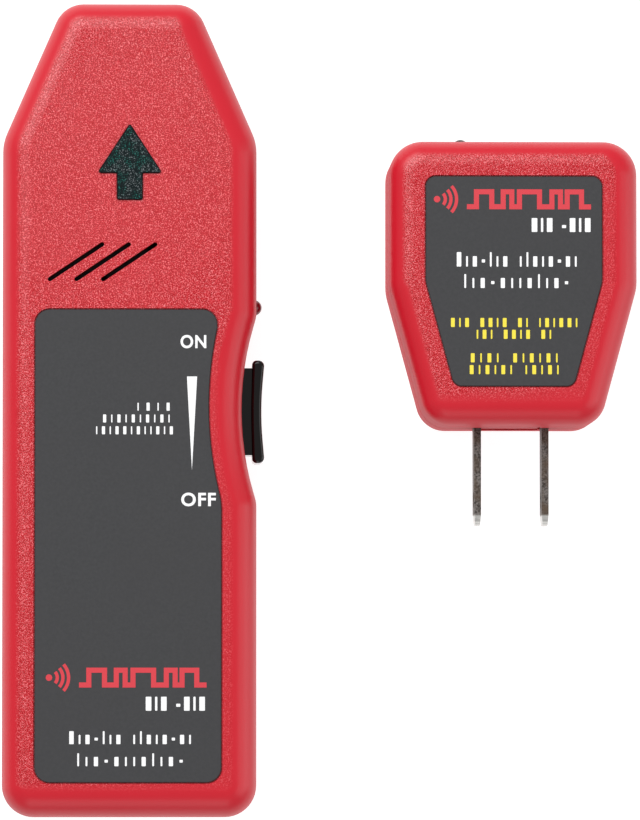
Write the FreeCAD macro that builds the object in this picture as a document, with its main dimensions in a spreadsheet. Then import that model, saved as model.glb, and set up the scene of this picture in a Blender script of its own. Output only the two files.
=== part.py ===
import FreeCAD, Part
import math
import os
import re

import Sketcher

# Circuit breaker finder: a hand-held receiver and a plug-in transmitter, both lying on their backs.
# Millimetres. +X right, +Y towards the receiver's tip, +Z up out of the label side, backs on z = 0.
# The origin is under the middle of the pair.

V = FreeCAD.Vector
doc = FreeCAD.newDocument("circuit_breaker_finder")
sheet = doc.addObject("Spreadsheet::Sheet", "Dimensions")

DIMENSIONS = {
    # receiver case
    "receiver_x": -35.6, "receiver_half": 23.7, "receiver_end": 76, "receiver_tip_half": 12.3,
    "shoulder_y": 50, "receiver_deep": 27, "receiver_split": 13, "case_wall": 2.2, "back_wall": 2,
    "tip_corner": 5.6, "shoulder_corner": 9, "heel_corner": 5.9,
    "waist_high": 17.4, "waist_low": -17.3, "waist_mid": 0, "waist_in": 5.1,
    "waist_corner": 6.2, "waist_arc": 55, "front_edge": 5, "back_edge": 3, "seam_bevel": 0.35,
    # receiver label, arrow and sounder slots
    "label_seat": 0.6, "label_thick": 0.5, "label_gap": 0.22, "plate_bevel": 0.15,
    "label_left": -17.6, "label_right": 17.15, "label_high": 18.5, "label_low": -69.55,
    "label_corner": 2.8, "label_waist": 4, "label_arc": 68, "label_waist_high": 15.1,
    "label_waist_low": -17.5,
    "arrow_tip": 53.15, "arrow_wing": 44, "arrow_foot": 39, "arrow_wing_half": 6,
    "arrow_stem_half": 2.38, "arrow_rise": 0.5, "arrow_seat": 0.4,
    "slot_x": -5.05, "slot_y": 27.4, "slot_pitch": 4.95, "slot_length": 12.5, "slot_wide": 0.85,
    "slot_angle": 33.8,
    # receiver button, switch and lamp
    "cap_under": 23, "cap_out": 25.35, "cap_dip": 0.85, "cap_arc": 60, "cap_high": 9.5,
    "cap_low": -9.8, "cap_bow": 0.25, "cap_bow_arc": 110, "cap_heel": 0.85, "cap_toe": 1.05,
    "cap_soft": 0.65, "cap_half_deep": 5.2, "stem_high": 8.05, "stem_low": -8.3,
    "stem_half_deep": 4.4,
    "stem_gap": 0.2, "flange_out": 18.45, "flange_thick": 1.2, "flange_over": 0.9, "nub_in": 16.65,
    "nub_radius": 1.8, "switch_front": 15.4, "switch_deep": 4, "switch_size": 6, "plunger_radius": 1.5,
    "plunger_out": 16.6, "plunger_in": 14.4, "plunger_well": 13.3, "plunger_gap": 0.15,
    "lamp_radius": 1.5, "lamp_length": 5.3, "lamp_flange": 1.9, "lamp_flange_thick": 1,
    "lamp_gap": 0.12, "lamp_y": 19.65, "lamp_tip": 24.85, "lead_radius": 0.25, "lead_half_pitch": 0.9,
    "lead_bend": 1,
    # receiver board and what stands on it
    "board_under": 8.4, "board_thick": 1.6, "board_half": 17.4, "board_low": -14, "board_high": 69,
    "sounder_radius": 10.5, "sounder_tall": 12.5, "sounder_hole": 1.6,
    "core_radius": 3, "core_length": 22, "core_y": 56, "core_lift": 6.6, "bobbin_length": 16,
    "bobbin_flange": 6, "bobbin_thick": 1.2, "bobbin_hub": 3.9, "coil_radius": 5.4,
    "chip_long": 19.3, "chip_wide": 6.4, "chip_tall": 3.4, "chip_lift": 0.6, "leg_pitch": 2.54,
    "axial_radius": 1.15, "axial_length": 6.2, "axial_lead": 0.3, "axial_span": 10.2,
    "can_radius": 2.5, "can_tall": 7.2,
    # battery, its bay and its door
    "battery_half": 13.25, "battery_low": -70.3, "battery_high": -23.9, "battery_under": 2.1,
    "battery_thick": 17.5, "battery_corner": 2.2, "terminal_half": 6.35, "terminal_rise": 2.9,
    "stud_radius": 2.85, "socket_radius": 4, "snap_thick": 4.1, "snap_half": 12.2,
    "snap_half_deep": 6.4, "cord_radius": 0.65, "cord_bend": 2, "cord_run": 6.2,
    "bay_half": 13.5, "bay_low": -70.6, "bay_high": -18.9, "bay_wall": 1.3, "bay_tall": 12.8,
    "floor_half": 16.2, "floor_top": 3.2, "hatch_half": 13.45, "hatch_high": -21,
    "door_half": 13.9, "door_thick": 1.75, "door_high": -20.05, "rail_half": 14.85,
    "rail_under": 0.95, "rail_thick": 0.8, "rail_high": -21.5, "rail_low": -72, "door_gap": 0.15,
    "grip_half": 6, "grip_low": -32, "grip_wide": 1, "grip_deep": 0.5, "grip_run": 8,
    "rest_radius": 2.2, "through_wall": 6,
    # screws
    "post_radius": 3.1, "screw_shank": 1.3, "screw_head": 2.5, "screw_head_thick": 1.6,
    "screw_sink": 3.4, "screw_end": 20.5, "post_x": 18.1, "post_high": 40.5, "post_low": -66,
    # transmitter case
    "transmitter_x": 36.1, "transmitter_half": 23.2, "transmitter_top": 50.3,
    "transmitter_bend": 22.9, "transmitter_foot": -3.1, "transmitter_foot_half": 16.13,
    "transmitter_deep": 27, "transmitter_split": 13.5, "top_corner": 6.35, "bend_corner": 9,
    "foot_corner": 5.5, "plate_side": 6.7, "plate_top": 43.5, "plate_foot": 4.25,
    "plate_corner": 1.9, "block_edge": 4.6,
    # plug blades and their carrier
    "blade_half_pitch": 6.35, "blade_thick": 1.3, "blade_wide": 6.35, "blade_tip": -21.45,
    "blade_root": 8.5, "blade_taper": 2.2, "blade_nose": 0.9, "blade_gap": 0.15,
    "blade_corner": 1.2, "blade_hole": 1.6, "blade_hole_drop": 13.4,
    "tongue_half": 5.3, "tongue_half_deep": 5.9, "tongue_set": 0.25, "carrier_half": 10.8,
    "carrier_half_deep": 7.4, "carrier_low": -0.65, "carrier_high": 3.55,
    # transmitter board and what stands on it
    "base_under": 6.4, "base_half": 17, "base_low": 11, "base_step": 40.6, "base_neck": 13.9,
    "base_high": 45.6, "pilot_x": -9.4, "pilot_tip": 51.45, "power_radius": 3, "power_length": 15,
    "film_long": 18, "film_wide": 8, "film_tall": 14, "fuse_radius": 2.6, "fuse_long": 20,
    "fuse_cap": 5.2, "disc_radius": 5, "disc_thick": 4, "wire_run": 2.5,
    "block_post_x": 17.3, "block_post_high": 44.2, "block_low_x": 13.4, "block_post_low": 6,
}
for row, (alias, number) in enumerate(DIMENSIONS.items(), 1):
    sheet.set(f"A{row}", alias)
    sheet.set(f"B{row}", str(number))
    sheet.setAlias(f"B{row}", alias)
doc.recompute()


def formula(text):
    """Turn words of the sheet into references to its cells."""
    def refer(match):
        word = match.group(0)
        return f"Dimensions.{word}" if word in DIMENSIONS else word
    return re.sub(r"[a-z_]+", refer, str(text))


def size(text):
    """The value of a formula, for geometry laid out in code."""
    return float(sheet.evalExpression(formula(text)))


def bind(thing, field, text):
    thing.setExpression(field, formula(text))


def bind_place(thing, place):
    for axis, text in zip("xyz", place):
        bind(thing, f"Placement.Base.{axis}", text)


# ---------------------------------------------------------------- outlines

def rounded(points):
    """Closed outline of lines and tangent arcs through (x, y, radius) corners."""
    geometry = []
    starts = []
    ends = []
    arcs = []
    count = len(points)
    for index, (x, y, radius) in enumerate(points):
        corner = V(x, y, 0)
        back = V(*points[index - 1][:2], 0) - corner
        ahead = V(*points[(index + 1) % count][:2], 0) - corner
        back.normalize()
        ahead.normalize()
        half = back.getAngle(ahead) / 2
        reach = radius / math.tan(half)
        middle = (back + ahead).normalize()
        start = corner + back * reach
        end = corner + ahead * reach
        top = corner + middle * (radius / math.sin(half) - radius)
        starts.append(start)
        ends.append(end)
        arcs.append((start, top, end))
    for index in range(count):
        if points[index][2] > 0:
            geometry.append(Part.Arc(*arcs[index]))
        after = starts[(index + 1) % count]
        if (after - ends[index]).Length > 1e-6:
            geometry.append(Part.LineSegment(ends[index], after))
    return geometry


def inset(points, distance):
    """The same outline moved inwards; outer corners tighten and hollows open."""
    moved = []
    count = len(points)
    for index, (x, y, radius) in enumerate(points):
        corner = V(x, y, 0)
        back = (corner - V(*points[index - 1][:2], 0)).normalize()
        ahead = (V(*points[(index + 1) % count][:2], 0) - corner).normalize()
        turn = back.cross(ahead).z
        normal_in = V(-back.y, back.x, 0)
        normal_out = V(-ahead.y, ahead.x, 0)
        total = normal_in + normal_out
        shift = total * (2 / total.Length ** 2) * distance
        radius = max(radius - distance, 0.6) if turn > 0 else radius + distance
        moved.append((x + shift.x, y + shift.y, radius))
    return moved


def receiver_outline():
    half = size("receiver_half")
    end = size("receiver_end")
    tip = size("receiver_tip_half")
    shoulder = size("shoulder_y")
    return [
        (-tip, end, size("tip_corner")),
        (-half, shoulder, size("shoulder_corner")),
        (-half, -end, size("heel_corner")),
        (half, -end, size("heel_corner")),
        (half, size("waist_low"), size("waist_corner")),
        (half - size("waist_in"), size("waist_mid"), size("waist_arc")),
        (half, size("waist_high"), size("waist_corner")),
        (half, shoulder, size("shoulder_corner")),
        (tip, end, size("tip_corner")),
    ]


def transmitter_outline():
    half = size("transmitter_half")
    foot = size("transmitter_foot_half")
    return [
        (-half, size("transmitter_top"), size("top_corner")),
        (-half, size("transmitter_bend"), size("bend_corner")),
        (-foot, size("transmitter_foot"), size("foot_corner")),
        (foot, size("transmitter_foot"), size("foot_corner")),
        (half, size("transmitter_bend"), size("bend_corner")),
        (half, size("transmitter_top"), size("top_corner")),
    ]


def label_outline(grow):
    """Receiver label; its right edge follows the waist of the case."""
    left = size("label_left") - grow
    right = size("label_right") + grow
    high = size("label_high") + grow
    low = size("label_low") - grow
    corner = size("label_corner") + grow
    middle = size("waist_mid")
    return [
        (left, high, corner),
        (left, low, corner),
        (right, low, corner),
        (right, size("label_waist_low"), 12),
        (right - size("label_waist"), middle, size("label_arc")),
        (right - 0.8, size("label_waist_high"), 2.2),
        (right - 0.8, high, corner),
    ]


def plate_outline(grow):
    """Transmitter label; its sides run parallel to the case."""
    side = size("plate_side") - grow
    slope = (size("transmitter_half - transmitter_foot_half")
             / size("transmitter_bend - transmitter_foot"))
    lean = math.hypot(1, slope)
    half = size("transmitter_half") - side
    bend = size("transmitter_bend") + side * (lean - 1) / slope
    foot = size("plate_foot") - grow
    foot_half = half - (bend - foot) * slope
    top = size("plate_top") + grow
    corner = size("plate_corner") + grow
    return [
        (-half, top, corner),
        (-half, bend, 6),
        (-foot_half, foot, corner),
        (foot_half, foot, corner),
        (half, bend, 6),
        (half, top, corner),
    ]


def arrow_outline(grow):
    wing = size("arrow_wing_half") + grow
    stem = size("arrow_stem_half") + grow
    tip = size("arrow_tip") + 1.35 * grow
    shoulder = size("arrow_wing") - grow
    foot = size("arrow_foot") - grow
    return [
        (0, tip, 0.35),
        (-wing - 0.4 * grow, shoulder, 0.35),
        (-stem, shoulder, 0.2),
        (-stem, foot, 0.4),
        (stem, foot, 0.4),
        (stem, shoulder, 0.2),
        (wing + 0.4 * grow, shoulder, 0.35),
    ]


# ---------------------------------------------------------------- part design helpers

def new_body(label, place):
    body = doc.addObject("PartDesign::Body", label)
    body.Label = label
    bind_place(body, place)
    return body


def new_sketch(body, name, height="0", role="XY_Plane"):
    """Sketch on one of the body's own origin planes, lifted along that plane's normal."""
    sketch = body.newObject("Sketcher::SketchObject", f"{body.Name}_{name}")
    plane = next(item for item in body.Origin.OriginFeatures if item.Role == role)
    sketch.AttachmentSupport = [(plane, "")]
    sketch.MapMode = "FlatFace"
    bind(sketch, "AttachmentOffset.Base.z", height)
    return sketch


def draw(sketch, geometry):
    for item in geometry:
        sketch.addGeometry(item, False)


def constrain_point(sketch, item, point, x, y):
    for kind, text in (("DistanceX", x), ("DistanceY", y)):
        index = sketch.addConstraint(Sketcher.Constraint(kind, -1, 1, item, point, size(text)))
        bind(sketch, f"Constraints[{index}]", text)


def rectangle(sketch, left, low, right, high):
    """Rectangle whose four sides are bound to formulas."""
    first = sketch.GeometryCount
    corners = [(left, low), (right, low), (right, high), (left, high)]
    points = [V(size(x), size(y), 0) for x, y in corners]
    for index in range(4):
        sketch.addGeometry(Part.LineSegment(points[index], points[(index + 1) % 4]), False)
    for index in range(4):
        after = first + (index + 1) % 4
        sketch.addConstraint(Sketcher.Constraint("Coincident", first + index, 2, after, 1))
        way = "Horizontal" if index % 2 == 0 else "Vertical"
        sketch.addConstraint(Sketcher.Constraint(way, first + index))
    constrain_point(sketch, first, 1, left, low)
    constrain_point(sketch, first + 2, 1, right, high)


def circle(sketch, x, y, radius):
    centre = V(size(x), size(y), 0)
    item = sketch.addGeometry(Part.Circle(centre, V(0, 0, 1), size(radius)), False)
    constrain_point(sketch, item, 3, x, y)
    index = sketch.addConstraint(Sketcher.Constraint("Radius", item, size(radius)))
    bind(sketch, f"Constraints[{index}]", radius)


def pad(body, sketch, length, symmetric=False):
    feature = body.newObject("PartDesign::Pad", f"{sketch.Name}_pad")
    feature.Profile = sketch
    if symmetric:
        feature.SideType = "Symmetric"
    bind(feature, "Length", length)
    sketch.Visibility = False
    doc.recompute()
    return feature


def pocket(body, sketch, length, upwards=False, symmetric=False):
    """Cut against the sketch's normal, or along it when upwards; it must remove material."""
    before = body.Shape.Volume
    feature = body.newObject("PartDesign::Pocket", f"{sketch.Name}_pocket")
    feature.Profile = sketch
    feature.Reversed = upwards
    if symmetric:
        feature.SideType = "Symmetric"
    bind(feature, "Length", length)
    sketch.Visibility = False
    doc.recompute()
    if feature.Shape.Volume > before - 0.01:
        raise RuntimeError(f"{sketch.Name}: the pocket removed nothing")
    return feature


def edges_at(shape, height):
    """Names of the edges that lie flat at one height."""
    names = []
    for index, edge in enumerate(shape.Edges, 1):
        limits = edge.BoundBox
        if abs(limits.ZMin - height) < 1e-4 and abs(limits.ZMax - height) < 1e-4:
            names.append(f"Edge{index}")
    return names


def soften(body, feature, height, kind, text):
    """Fillet or chamfer every edge of the tip feature that lies at a height."""
    dressed = body.newObject(f"PartDesign::{kind}", f"{body.Name}_{kind}_{len(body.Group)}")
    dressed.Base = (feature, edges_at(feature.Shape, size(height)))
    bind(dressed, "Radius" if kind == "Fillet" else "Size", text)
    doc.recompute()
    return dressed


# ---------------------------------------------------------------- primitive helpers

def frame_of(along, across):
    """Rotation whose local X runs along one direction and local Y along another."""
    return FreeCAD.Rotation(along, across, along.cross(across), "XYZ")


TURNS = {
    "z": FreeCAD.Rotation(),
    "x": FreeCAD.Rotation(V(0, 1, 0), 90),
    "y": FreeCAD.Rotation(V(1, 0, 0), -90),
}


def block(name, left, low, under, wide, deep, tall):
    item = doc.addObject("Part::Box", name)
    bind(item, "Length", wide)
    bind(item, "Width", deep)
    bind(item, "Height", tall)
    bind_place(item, (left, low, under))
    return item


def rod(name, x, y, z, radius, length, axis="z"):
    """Cylinder that starts at a point and runs along +X, +Y or +Z."""
    item = doc.addObject("Part::Cylinder", name)
    item.Placement = FreeCAD.Placement(V(), TURNS[axis])
    bind(item, "Radius", radius)
    bind(item, "Height", length)
    bind_place(item, (x, y, z))
    return item


def ball(name, x, y, z, radius):
    item = doc.addObject("Part::Sphere", name)
    bind(item, "Radius", radius)
    bind_place(item, (x, y, z))
    return item


def cone(name, x, y, z, first, second, length, axis="z"):
    item = doc.addObject("Part::Cone", name)
    item.Placement = FreeCAD.Placement(V(), TURNS[axis])
    bind(item, "Radius1", first)
    bind(item, "Radius2", second)
    bind(item, "Height", length)
    bind_place(item, (x, y, z))
    return item


def bent_lead(name, start, way, run, drop, radius, bend):
    """Round wire: a level run, a quarter bend and a straight drop. Start is (x, y, z) formulas."""
    x, y, z = start
    sign = -1 if way.startswith("-") else 1
    axis = way[-1]
    ahead = V(sign, 0, 0) if axis == "x" else V(0, sign, 0)
    step = {"x": (f"{x} + {sign} * ({run})", y), "y": (x, f"{y} + {sign} * ({run})")}[axis]
    reach = f"({run} + {bend})"
    down = {"x": (f"{x} + {sign} * {reach}", y), "y": (x, f"{y} + {sign} * {reach}")}[axis]
    first = (x, y) if sign > 0 else step
    level = rod(f"{name}_level", first[0], first[1], z, radius, run, axis)
    elbow = doc.addObject("Part::Torus", f"{name}_elbow")
    elbow.Placement = FreeCAD.Placement(V(), frame_of(ahead, V(0, 0, 1)))
    bind(elbow, "Radius1", bend)
    bind(elbow, "Radius2", radius)
    elbow.Angle3 = 90
    bind_place(elbow, (step[0], step[1], f"{z} - {bend}"))
    fall = rod(f"{name}_drop", down[0], down[1], f"{z} - {bend} - ({drop})", radius, drop)
    return [level, elbow, fall]


def joined(label, pieces):
    if len(pieces) == 1:
        return pieces[0]
    whole = doc.addObject("Part::MultiFuse", label)
    whole.Shapes = pieces
    return whole


def finished(label, adds, cuts=()):
    """One sub-part made of primitives: everything added, then everything cut."""
    if not cuts:
        whole = joined(label, list(adds))
    else:
        whole = doc.addObject("Part::Cut", label)
        whole.Base = joined(f"{label}_stock", list(adds))
        whole.Tool = joined(f"{label}_tools", list(cuts))
    whole.Label = label
    parts.append(whole)
    return whole


parts = []

# ---------------------------------------------------------------- receiver case

POSTS = [(sx, sy) for sx in ("-post_x", "post_x") for sy in ("post_low", "post_high")]
BLOCK_POSTS = [("-block_post_x", "block_post_high"), ("block_post_x", "block_post_high"),
               ("-block_low_x", "block_post_low"), ("block_low_x", "block_post_low")]
RX = "receiver_x"
TX = "transmitter_x"


def front_half(label, centre, split, deep, outline, edge, posts):
    """Front moulding: outline, soft rim, seam bevel, hollow and screw posts."""
    body = new_body(label, (centre, "0", split))
    tall = f"{deep} - {split}"
    base = new_sketch(body, "outline")
    draw(base, rounded(outline))
    last = pad(body, base, tall)
    last = soften(body, last, tall, "Fillet", edge)
    soften(body, last, "0", "Chamfer", "seam_bevel")
    hollow = new_sketch(body, "hollow")
    draw(hollow, rounded(inset(outline, size("case_wall"))))
    pocket(body, hollow, f"{tall} - case_wall", upwards=True)
    stands = new_sketch(body, "posts")
    for x, y in posts:
        circle(stands, x, y, "post_radius")
    pad(body, stands, f"{tall} - case_wall + 0.4")
    pilots = new_sketch(body, "pilots")
    for x, y in posts:
        circle(pilots, x, y, "screw_shank")
    pocket(body, pilots, f"screw_end - {split} + 0.8", upwards=True)
    return body


def rear_half(label, centre, split, outline, posts):
    """Rear moulding: outline, soft back edge, seam bevel, hollow and screw posts."""
    body = new_body(label, (centre, "0", "0"))
    base = new_sketch(body, "outline")
    draw(base, rounded(outline))
    last = pad(body, base, split)
    last = soften(body, last, "0", "Fillet", "back_edge")
    soften(body, last, split, "Chamfer", "seam_bevel")
    hollow = new_sketch(body, "hollow", split)
    draw(hollow, rounded(inset(outline, size("case_wall"))))
    pocket(body, hollow, f"{split} - back_wall")
    stands = new_sketch(body, "posts", "back_wall - 0.4")
    for x, y in posts:
        circle(stands, x, y, "post_radius")
    pad(body, stands, f"{split} - back_wall + 0.4")
    return body


def screw_holes(body, split, posts):
    passing = new_sketch(body, "passing", "0.5")
    sinks = new_sketch(body, "sinks")
    for x, y in posts:
        circle(passing, x, y, "screw_shank + 0.25")
        circle(sinks, x, y, "screw_head + 0.2")
    pocket(body, passing, f"{split}", upwards=True)
    pocket(body, sinks, "screw_sink + screw_head_thick", upwards=True)


def side_window(body, name, offset, y_low, z_low, y_high, z_high, length):
    window = new_sketch(body, name, offset, "YZ_Plane")
    rectangle(window, y_low, z_low, y_high, z_high)
    pocket(body, window, length)


def receiver_front():
    body = front_half("receiver_front_shell", RX, "receiver_split", "receiver_deep",
                      receiver_outline(), "front_edge", POSTS)
    top = "receiver_deep - receiver_split"
    seat = new_sketch(body, "label_seat", top)
    draw(seat, rounded(label_outline(size("label_gap"))))
    pocket(body, seat, "label_seat")
    seat = new_sketch(body, "arrow_seat", top)
    draw(seat, rounded(arrow_outline(0.12)))
    pocket(body, seat, "arrow_seat")
    slots = new_sketch(body, "sound_slots", top)
    angle = math.radians(size("slot_angle"))
    along = V(math.cos(angle), math.sin(angle), 0)
    across = V(-along.y, along.x, 0) * (size("slot_wide") / 2)
    straight = along * (size("slot_length - slot_wide") / 2)
    for step in (-1, 0, 1):
        middle = V(size("slot_x") + step * size("slot_pitch"), size("slot_y"), 0)
        far = middle + straight
        near = middle - straight
        round_end = along * (size("slot_wide") / 2)
        slots.addGeometry(Part.LineSegment(near - across, far - across), False)
        slots.addGeometry(Part.Arc(far - across, far + round_end, far + across), False)
        slots.addGeometry(Part.LineSegment(far + across, near + across), False)
        slots.addGeometry(Part.Arc(near + across, near - round_end, near - across), False)
    pocket(body, slots, "case_wall + 0.5")
    side_window(body, "button_window", "receiver_half + 2", "stem_low - stem_gap", "-1",
                "stem_high + stem_gap", "stem_half_deep + stem_gap", "9")
    lamp = new_sketch(body, "lamp_hole", "receiver_half + 2", "YZ_Plane")
    circle(lamp, "lamp_y", "0", "lamp_radius + lamp_gap")
    pocket(body, lamp, "through_wall")
    parts.append(body)


def receiver_rear():
    body = rear_half("receiver_rear_shell", RX, "receiver_split", receiver_outline(), POSTS)
    floor = new_sketch(body, "bay_floor", "back_wall - 0.4")
    rectangle(floor, "-floor_half", "-receiver_end + case_wall - 0.4", "floor_half",
              "bay_high + bay_wall")
    pad(body, floor, "floor_top - back_wall + 0.4")
    walls = new_sketch(body, "bay_walls", "back_wall - 0.4")
    rectangle(walls, "-bay_half - bay_wall", "bay_low - bay_wall", "bay_half + bay_wall",
              "bay_high + bay_wall")
    rectangle(walls, "-bay_half", "bay_low", "bay_half", "bay_high")
    pad(body, walls, "bay_tall - back_wall + 0.4")
    hatch = new_sketch(body, "hatch", "floor_top + 0.5")
    rectangle(hatch, "-hatch_half", "bay_low", "hatch_half", "hatch_high")
    pocket(body, hatch, "floor_top + 1")
    track = new_sketch(body, "door_track", "-0.5")
    rectangle(track, "-door_half - door_gap", "-receiver_end - 1", "door_half + door_gap",
              "door_high + door_gap")
    pocket(body, track, "door_thick + 0.2 + 0.5", upwards=True)
    grooves = new_sketch(body, "rail_grooves", "rail_under - 0.1")
    rectangle(grooves, "-rail_half - door_gap", "-receiver_end - 1", "rail_half + door_gap",
              "rail_high + door_gap")
    pocket(body, grooves, "door_thick + 0.3 - rail_under", upwards=True)
    rests = new_sketch(body, "board_rests", "back_wall - 0.4")
    for x, y in (("-13.5", "-9"), ("10.5", "-10.5"), ("-13", "18"), ("12", "29"), ("-8", "50")):
        circle(rests, x, y, "rest_radius")
    pad(body, rests, "board_under - back_wall + 0.4")
    screw_holes(body, "receiver_split", POSTS)
    side_window(body, "button_window", "receiver_half + 2", "stem_low - stem_gap",
                "receiver_split - stem_half_deep - stem_gap", "stem_high + stem_gap",
                "receiver_split + 1", "9")
    lamp = new_sketch(body, "lamp_hole", "receiver_half + 2", "YZ_Plane")
    circle(lamp, "lamp_y", "receiver_split", "lamp_radius + lamp_gap")
    pocket(body, lamp, "through_wall")
    parts.append(body)


def flat_piece(label, place, outline, thick, edge):
    body = new_body(label, place)
    base = new_sketch(body, "outline")
    draw(base, rounded(outline))
    last = pad(body, base, thick)
    if edge:
        soften(body, last, thick, "Chamfer", edge)
    parts.append(body)
    return body


def door():
    """Sliding battery door: its lower end carries on the soft back edge of the case."""
    body = new_body("battery_door", (RX, "0", "0"))
    section = new_sketch(body, "section", "0", "YZ_Plane")
    edge = size("back_edge")
    low = -size("receiver_end") + edge
    thick = size("door_thick")
    high = size("door_high")

    def on_edge(height):
        return V(low - math.sqrt(edge ** 2 - (edge - height) ** 2), height, 0)

    section.addGeometry(Part.LineSegment(V(high, 0, 0), V(low, 0, 0)), False)
    section.addGeometry(Part.Arc(V(low, 0, 0), on_edge(thick / 3), on_edge(thick)), False)
    section.addGeometry(Part.LineSegment(on_edge(thick), V(high, thick, 0)), False)
    section.addGeometry(Part.LineSegment(V(high, thick, 0), V(high, 0, 0)), False)
    pad(body, section, "2 * door_half", symmetric=True)
    rails = new_sketch(body, "rails", "rail_under")
    rectangle(rails, "-rail_half", "rail_low", "rail_half", "rail_high")
    pad(body, rails, "rail_thick")
    grip = new_sketch(body, "grip")
    rectangle(grip, "-grip_half", "grip_low", "grip_half", "grip_low + grip_wide")
    cut = pocket(body, grip, "grip_deep", upwards=True)
    rows = body.newObject("PartDesign::LinearPattern", "battery_door_grip_rows")
    rows.Originals = [cut]
    rows.Direction = (grip, ["V_Axis"])
    bind(rows, "Length", "grip_run")
    rows.Occurrences = 5
    body.Tip = rows
    doc.recompute()
    parts.append(body)


def button():
    """T-section button: cap outside, stem through the wall, flange and nub inside."""
    body = new_body("power_button", (RX, "0", "receiver_split"))
    cap = new_sketch(body, "cap")
    under = size("cap_under")
    out = size("cap_out")
    high = size("cap_high")
    low = size("cap_low")
    middle = (high + low) / 2
    heel = size("cap_heel")
    toe = size("cap_toe")
    corners = [(under, low, heel), (out, low, toe), (out - size("cap_dip"), middle, size("cap_arc")),
               (out, high, toe), (under, high, heel),
               (under - size("cap_bow"), middle, size("cap_bow_arc"))]
    draw(cap, rounded(corners))
    last = pad(body, cap, "2 * cap_half_deep", symmetric=True)
    ends = edges_at(last.Shape, size("cap_half_deep")) + edges_at(last.Shape, -size("cap_half_deep"))
    dressed = body.newObject("PartDesign::Fillet", "power_button_soft")
    dressed.Base = (last, ends)
    bind(dressed, "Radius", "cap_soft")
    doc.recompute()
    stem = new_sketch(body, "stem", "flange_out - 0.3", "YZ_Plane")
    rectangle(stem, "stem_low", "-stem_half_deep", "stem_high", "stem_half_deep")
    pad(body, stem, "cap_under - flange_out + 0.6")
    flange = new_sketch(body, "flange", "flange_out - flange_thick", "YZ_Plane")
    rectangle(flange, "stem_low - flange_over", "-stem_half_deep - flange_over",
              "stem_high + flange_over", "stem_half_deep + flange_over")
    pad(body, flange, "flange_thick")
    nub = new_sketch(body, "nub", "nub_in", "YZ_Plane")
    circle(nub, "0", "0", "nub_radius")
    pad(body, nub, "flange_out - flange_thick - nub_in + 0.3")
    parts.append(body)


receiver_front()
receiver_rear()
flat_piece("receiver_label", (RX, "0", "receiver_deep - label_seat"), label_outline(0),
           "label_thick", "plate_bevel")
flat_piece("direction_arrow", (RX, "0", "receiver_deep - arrow_seat"), arrow_outline(0),
           "arrow_seat + arrow_rise", "plate_bevel")
door()
button()

# ---------------------------------------------------------------- receiver insides

BOARD_TOP = "board_under + board_thick"
half = size("board_half")
board_points = [(-half, size("board_low"), 0.8), (half, size("board_low"), 0.8), (half, -11.8, 0.5),
                (15.7, -11.8, 0.5), (15.7, 11.4, 0.5), (half, 11.4, 0.5), (half, 35.6, 0.5),
                (13.6, 35.6, 0.5), (13.6, 51, 3), (7, size("board_high"), 2),
                (-7, size("board_high"), 2), (-13.6, 51, 3), (-13.6, 35.6, 0.5), (-half, 35.6, 0.5)]
flat_piece("receiver_board", (RX, "0", "board_under"), board_points, "board_thick", "")

finished("switch_body", [
    block("switch_case", f"{RX} + switch_front - switch_deep", "-switch_size / 2", BOARD_TOP,
          "switch_deep", "switch_size", "switch_size"),
], [
    rod("switch_well", f"{RX} + plunger_well", "0", "receiver_split",
        "plunger_radius + plunger_gap", "switch_front - plunger_well + 1", "x"),
])
finished("switch_plunger", [
    rod("plunger_rod", f"{RX} + plunger_in", "0", "receiver_split", "plunger_radius",
        "plunger_out - plunger_in", "x"),
])


def lamp(label, tip, axis):
    """Round lamp with a domed end, a flange and two bent leads."""
    x, y, z = tip
    pieces = []
    along = {"x": (1, 0), "y": (0, 1)}[axis]

    def back(text):
        return (f"{x} - {along[0]} * ({text})", f"{y} - {along[1]} * ({text})", z)

    pieces.append(rod(f"{label}_barrel", *back("lamp_length"), "lamp_radius",
                      "lamp_length - lamp_radius", axis))
    pieces.append(ball(f"{label}_dome", *back("lamp_radius"), "lamp_radius"))
    pieces.append(rod(f"{label}_flange", *back("lamp_length"), "lamp_flange",
                      "lamp_flange_thick", axis))
    return pieces


def lamp_leads(label, tip, axis, board_top):
    x, y, z = tip
    pieces = []
    for side in (-1, 1):
        shift = f"{side} * lead_half_pitch"
        start = {"x": (f"{x} - lamp_length", f"{y} + {shift}", z),
                 "y": (f"{x} + {shift}", f"{y} - lamp_length", z)}[axis]
        pieces += bent_lead(f"{label}_{side + 1}", start, f"-{axis}", "1.4",
                            f"{z} - lead_bend - ({board_top})", "lead_radius", "lead_bend")
    return pieces


LAMP_TIP = (f"{RX} + lamp_tip", "lamp_y", "receiver_split")
finished("receiver_led", lamp("receiver_led_lens", LAMP_TIP, "x"))
finished("receiver_led_leads", lamp_leads("receiver_lead", LAMP_TIP, "x", BOARD_TOP))

finished("sounder", [
    rod("sounder_can", f"{RX} + slot_x", "slot_y - 4", BOARD_TOP, "sounder_radius", "sounder_tall"),
], [
    rod("sounder_port", f"{RX} + slot_x", "slot_y - 4", f"{BOARD_TOP} + 3", "sounder_hole",
        "sounder_tall"),
    rod("sounder_dish", f"{RX} + slot_x", "slot_y - 4", f"{BOARD_TOP} + sounder_tall - 0.8",
        "sounder_radius - 1.6", "2"),
])

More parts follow.
